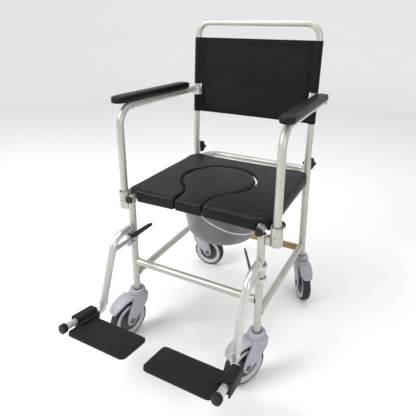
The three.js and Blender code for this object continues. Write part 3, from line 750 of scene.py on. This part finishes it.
def cover_radius(turn):
    """A square sleeve with rounded corners."""
    across, along = max(abs(math.cos(turn)), 1e-6), max(abs(math.sin(turn)), 1e-6)
    return min(COVER_HALF / across, COVER_HALF / along, COVER_CORNER)


def bar_axis(side):
    """The frame whose origin is on the level pivot bar, at the front leg axis."""
    return Matrix.Translation(at(BAR_X * side, 0, BAR_Z))


def claw(x, side, low, high):
    """An open hook round the front leg, with a rounded tip."""
    start, end = (-150, 76) if side > 0 else (330, 104)
    section = ((CLAW_BORE, low), (CLAW_OUTSIDE, low), (CLAW_OUTSIDE, high), (CLAW_BORE, high))
    points, faces = [], []
    for k in range(CLAW_STEPS + 1):
        angle = math.radians(start + (end - start) * k / CLAW_STEPS)
        out = Vector((math.cos(angle), math.sin(angle), 0))
        points += [at(x, 0, z) + out * mm(radius) for radius, z in section]
    for k in range(CLAW_STEPS):
        for j in range(4):
            j_next = (j + 1) % 4
            faces.append([k * 4 + j, k * 4 + j_next, k * 4 + 4 + j_next, k * 4 + 4 + j])
    faces += [[3, 2, 1, 0], [CLAW_STEPS * 4 + j for j in range(4)]]
    tip_profile = [(0, low), (3.4, low), (3.8, low + 0.6), (3.8, high - 0.6), (3.4, high), (0, high)]
    last = math.radians(end)
    tip = at(x, 0, 0) + Vector((math.cos(last), math.sin(last), 0)) * mm(17.4)
    return [(points, faces), turned(tip_profile, Matrix.Translation(tip), 20)]


def gusset(x):
    """The small plate between the hanger tube and its claws."""
    outline = ((-9, -25), (9.5, -25), (9.5, 25), (-9, 25))
    middle = at(x, -25, 352)
    points = [middle + Vector((mm(a), mm(b), mm(c))) for a in (-3.5, 3.5) for b, c in outline]
    walls = [[k, (k + 1) % 4, (k + 1) % 4 + 4, k + 4] for k in range(4)]
    return points, [[3, 2, 1, 0], [4, 5, 6, 7]] + walls


def hanger(suffix, side):
    """The bent tube with its brace, the claws that hang it on the leg, and the release lever."""
    x, body = FRONT_LEG_X * side, "hanger_" + suffix
    top, bend = at(x, -14, HANGER_TOP_Z), at(x, -86, HANGER_TOP_Z)
    tube = swept(bent([top, bend, at(x, HANGER_END_Y, HANGER_END_Z)], [45], 16), TUBE_R, 1.6)
    brace = swept([at(x, -16, BRACE_Z), at(x, -93, BRACE_Z)], 7, 0, 20)
    beads = [
        bead(at(x, -91, BRACE_Z), ALONG_Y, 7, 1.3),
        bead(at(x, -16.6, HANGER_TOP_Z), ALONG_Y, TUBE_R, 1.4),
    ]
    piece("hanger_tube_" + suffix, merged(tube, brace, *beads), body, "bright_paint", ["hanger_" + suffix])
    claws = []
    for low, high in CLAW_HEIGHTS:
        claws += claw(x, side, low, high)
    piece("hanger_hooks_" + suffix, merged(gusset(x), *claws), body, "bright_paint", bevel=1.0)
    refined("release_lever_" + suffix, "lever_" + suffix, "black_plastic", bevel=0.8)


def drop_tube(suffix, side):
    """The tube that slides in the hanger and turns into the pivot bar, its collar and its end grip."""
    body = "drop_" + suffix
    end = at(FRONT_LEG_X * side, HANGER_END_Y, HANGER_END_Z)
    inner = swept([end - drop_way * mm(110), end + drop_way * mm(14)], 8.6, 1.3)
    bar_line = [tilt @ at(BAR_X * side, -172, BAR_Z), tilt @ at(BAR_X * side, -280.5, BAR_Z)]
    elbow = bent([end - drop_way * mm(2), end + drop_way * mm(22), *bar_line], [9, 9], 8)
    drop_bar = merged(inner, swept(elbow, 9.5))
    piece("drop_bar_" + suffix, drop_bar, body, "bright_paint", ["drop_tube_" + suffix])
    collar = swept([end - drop_way * mm(10), end + drop_way * mm(1.5)], 12.6, 0, 28)
    piece("hanger_collar_" + suffix, collar, "hanger_" + suffix, "bright_paint")
    grip = [(0, 0), (11.2, 0)]
    for k in range(4):
        start = 2.8 * k
        grip += [(13, 0.8 + start), (13, 2.0 + start), (11.8, 2.4 + start), (11.8, 3.0 + start)]
    grip += [(10, 12.2), (0, 12.4)]
    bar_end = tilt @ Matrix.Translation(at(BAR_X * side, -280, BAR_Z)) @ about("X", 90)
    piece("bar_grip_" + suffix, turned(grip, bar_end, 36), body, "black_plastic")


def footplate(suffix, side):
    body = "plate_" + suffix
    refined("footplate_" + suffix, body, "black_plastic", bevel=1.6, look="tread_black")
    cover = ring_prism(cover_radius, 10.3, -245.5, -177.5, tilt @ bar_axis(side))
    piece("footplate_clamp_" + suffix, cover, body, "black_plastic", look="tread_black", bevel=1.2)


for suffix, side in SIDES:
    hanger(suffix, side)
    drop_tube(suffix, side)
    footplate(suffix, side)


# ---- castors ----
FORK_INSIDE = 17.2
FORK_OUTSIDE = 22.6
FORK_END_R = 16.5
BOLT_HALF = 23.5
bell_profile = [
    (12.6, 128), (26.4, 128), (27.6, 129.2), (27.8, 141), (26.6, 142.4), (25.2, 142.8), (25, 144),
    (26.4, 144.6), (26.8, 145.6), (26.8, 149.4), (25.8, 150.4), (23.6, 150.8), (23.4, 151.8), (24.4, 152.4),
    (24.4, 155.6), (22.8, 157.6), (19, 158.2), (14, 157.6), (12.6, 156.4),
]
tyre_profile = [
    (54.4, -13.4), (57.6, -14.0), (60.6, -12), (61.9, -8.6), (WHEEL_R, -4), (WHEEL_R, 4), (61.9, 8.6),
    (60.6, 12), (57.6, 14.0), (54.4, 13.4),
]
rim_profile = [
    (39, -10.6), (41, -12.2), (47, -13), (48, -14.2), (53.2, -14.4), (54.3, -13.2), (54.3, 13.2),
    (53.2, 14.4), (48, 14.2), (47, 13), (41, 12.2), (39, 10.6),
]
hub_profile = [
    (4.7, -15.4), (11, -15.6), (14, -14.4), (15.6, -9), (20, -6.6), (30, -6.2), (36, -7.4), (39.6, -10),
    (39.6, 10), (36, 7.4), (30, 6.2), (20, 6.6), (15.6, 9), (14, 14.4), (11, 15.6), (4.7, 15.4),
]
bolt_cap_profile = [
    (0, 22.9), (8.6, 22.9), (9, 23.6), (8.8, 25), (7.4, 26), (4, 26.2), (3.4, 25.6), (0, 25.5),
]
fork_end = [math.radians(190 + 18 * k) for k in range(11)]
fork_outline = [(-26, 142), (-26, 124), (-21, 106), (6, 78), (24.6, 60)]
fork_outline += [(TRAIL + FORK_END_R * math.cos(a), WHEEL_R + FORK_END_R * math.sin(a)) for a in fork_end]
fork_outline += [(56, 78), (48, 100), (38, 122), (30, 142)]
crown_outline = [(-26, 141), (-25, 127.5), (34, 127.5), (33, 137), (28, 143), (-22, 143)]


def swivel_pieces(node, swivel, x, y, place):
    """The fork housing, its bell and the stem in the leg."""
    arms = [
        prism(fork_outline, FORK_INSIDE, FORK_OUTSIDE, place),
        prism(fork_outline, -FORK_OUTSIDE, -FORK_INSIDE, place),
    ]
    housing = merged(prism(crown_outline, -22, 22, place), *arms)
    piece(node + "_housing", housing, swivel, "castor_plastic", [node + "_fork"], bevel=2.0)
    piece(node + "_bell", turned(bell_profile, place), swivel, "castor_plastic")
    piece(node + "_stem", swept([at(x, y, 150), at(x, y, 177)], 8.0), swivel, "bolt_steel")


def wheel_pieces(node, swivel, wheel, axle):
    """The tread, rim and disc on the wheel, and the axle bolt with its two caps in the fork."""
    piece(node + "_tread", turned(tyre_profile, axle, 96), wheel, "tyre_rubber", [node + "_tyre"])
    piece(node + "_rim", turned(rim_profile, axle, 72), wheel, "hub_plastic", (), "rim_grey")
    piece(node + "_disc", turned(hub_profile, axle, 72), wheel, "hub_plastic", [node + "_hub"])
    pin = swept([axle @ (ALONG_Z * mm(-BOLT_HALF)), axle @ (ALONG_Z * mm(BOLT_HALF))], 4.1, 0, 20)
    caps = [turned(bolt_cap_profile, axle @ about("X", flip), 32) for flip in (0, 180)]
    piece(node + "_bolt", merged(pin, *caps), swivel, "bolt_steel", [node + "_axle"], "axle_grey")


def pedal(node, name, place):
    """The brake pedal with three grip ribs across its toe."""
    ribs = []
    for k in range(3):
        reach, height = mm(88 + 5 * k), mm(130.2 - 4.6 * k)
        ends = [place @ Vector((reach, mm(across), height)) for across in (-15, 15)]
        ribs.append(swept(ends, 1.3, 0, 10))
    refined(node + "_pedal", "pedal_" + name, "castor_plastic", extra=ribs, bevel=1.8)


for name, x, y, turn in CASTORS:
    node = "castor_" + name
    place = Matrix.Translation(at(x, y, 0)) @ about("Z", turn)
    axle = place @ Matrix.Translation(Vector((mm(TRAIL), 0, mm(WHEEL_R)))) @ about("X", -90)
    swivel_pieces(node, "swivel_" + name, x, y, place)
    wheel_pieces(node, "swivel_" + name, "wheel_" + name, axle)
    if node + "_pedal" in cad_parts:
        pedal(node, name, place)


# ---- floor, light and camera ----
FLOOR_SIDES = 96
FLOOR_R = 4200
CURVE_R = 800
WALL_TOP = 2400
curve = [k * math.pi / 16 for k in range(1, 9)]
floor_profile = [(0, 0), (3000, 0), (FLOOR_R, 0)]
floor_profile += [(FLOOR_R + CURVE_R * math.sin(a), CURVE_R - CURVE_R * math.cos(a)) for a in curve]
floor_profile.append((FLOOR_R + CURVE_R, WALL_TOP))
# The floor's top is left 0.2 mm under the wheels, and the faces that would close the bowl are dropped.
floor_points, floor_faces = turned(floor_profile, Matrix.Translation(Vector((0, 0, -0.0002))), FLOOR_SIDES)
floor_faces = [f for f in floor_faces if max(f) - min(f) < 3 * FLOOR_SIDES]
ground_mesh = bpy.data.meshes.new("studio_floor")
ground_mesh.from_pydata([tuple(p) for p in floor_points], [], floor_faces)
ground = bpy.data.objects.new("studio_floor", ground_mesh)
bpy.context.scene.collection.objects.link(ground)
ground_mesh.shade_smooth()
ground_look = bpy.data.materials.new("studio_floor")
ground_look.use_nodes = True
ground_shader = ground_look.node_tree.nodes["Principled BSDF"]
ground_shader.inputs["Base Color"].default_value = (0.86, 0.86, 0.86, 1)
ground_shader.inputs["Roughness"].default_value = 0.75
ground_mesh.materials.append(ground_look)

sky = bpy.data.worlds.new("studio")
sky.use_nodes = True
sky.node_tree.nodes["Background"].inputs["Color"].default_value = (1, 1, 1, 1)
sky.node_tree.nodes["Background"].inputs["Strength"].default_value = 0.75
bpy.context.scene.world = sky
bpy.context.scene.view_settings.view_transform = "Standard"


def softbox(name, place, aim, size, power):
    lamp = bpy.data.lights.new(name, "AREA")
    lamp.shape = "RECTANGLE"
    lamp.size, lamp.size_y = size
    lamp.energy = power
    made = bpy.data.objects.new(name, lamp)
    bpy.context.scene.collection.objects.link(made)
    made.location = place
    made.rotation_euler = (Vector(aim) - Vector(place)).to_track_quat("-Z", "Y").to_euler()


# name, place, aim, size and power
softbox("key", (-1.5, -1.6, 2.3), (0, 0, 0.45), (1.2, 1.2), 60)
softbox("fill", (2.4, -1.4, 1.4), (0, 0, 0.45), (0.8, 1.4), 16)
softbox("top", (0, 0.3, 3.0), (0, 0, 0.5), (2.0, 2.0), 30)

# The camera stands in front of the chair, to the sitter's left and at the height of its hoop.
YAW, PITCH, ROLL = math.radians(25.6), math.radians(18.1), math.radians(1.0)
back = Vector((math.sin(YAW) * math.cos(PITCH), -math.cos(YAW) * math.cos(PITCH), math.sin(PITCH)))
right = Vector((math.cos(YAW), math.sin(YAW), 0))
up = back.cross(right)
side_axis = right * math.cos(ROLL) + up * math.sin(ROLL)
up_axis = up * math.cos(ROLL) - right * math.sin(ROLL)
eye = at(504.3, -846.1, 971.5)
lens = bpy.data.cameras.new("camera")
lens.lens = 33.56
lens.sensor_width = 36.0
lens.shift_x = -0.040
lens.shift_y = -0.129
camera = bpy.data.objects.new("camera", lens)
bpy.context.scene.collection.objects.link(camera)
pose = Matrix((side_axis, up_axis, back)).transposed().to_4x4()
camera.matrix_world = Matrix.Translation(eye) @ pose
bpy.context.scene.camera = camera
